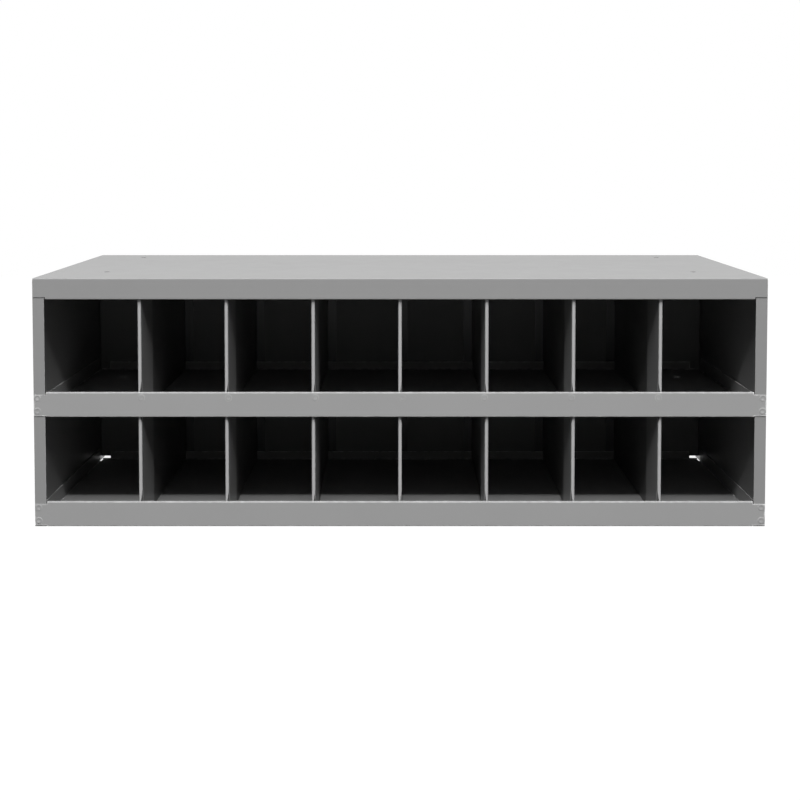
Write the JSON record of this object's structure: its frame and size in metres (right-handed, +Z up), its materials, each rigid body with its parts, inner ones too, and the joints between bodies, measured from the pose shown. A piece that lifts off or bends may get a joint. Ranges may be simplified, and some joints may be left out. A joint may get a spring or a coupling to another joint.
{
  "type": "steel pigeonhole bin unit",
  "caption": "Grey welded sheet-steel pigeonhole unit with two rows of open-fronted bins behind low front lips, for small parts or papers.",
  "frame": {"origin": "middle of the base, at the level that the unit stands on", "axes": "+X to the right along the width, -Y out of the open fronts of the bins, +Z up"},
  "size_m": [0.8572, 0.3048, 0.2921],
  "materials": {
    "grey_paint": "semi-gloss powder coat"
  },
  "bodies": {
    "root": {"left_side_panel": "grey_paint", "right_side_panel": "grey_paint", "top_panel": "grey_paint", "middle_shelf": "grey_paint", "bottom_shelf": "grey_paint", "back_panel": "grey_paint", "upper_divider_1": "grey_paint", "upper_divider_2": "grey_paint", "upper_divider_3": "grey_paint", "upper_divider_4": "grey_paint", "upper_divider_5": "grey_paint", "upper_divider_6": "grey_paint", "upper_divider_7": "grey_paint", "lower_divider_1": "grey_paint", "lower_divider_2": "grey_paint", "lower_divider_3": "grey_paint", "lower_divider_4": "grey_paint", "lower_divider_5": "grey_paint", "lower_divider_6": "grey_paint", "lower_divider_7": "grey_paint"}
  },
  "joints": []
}
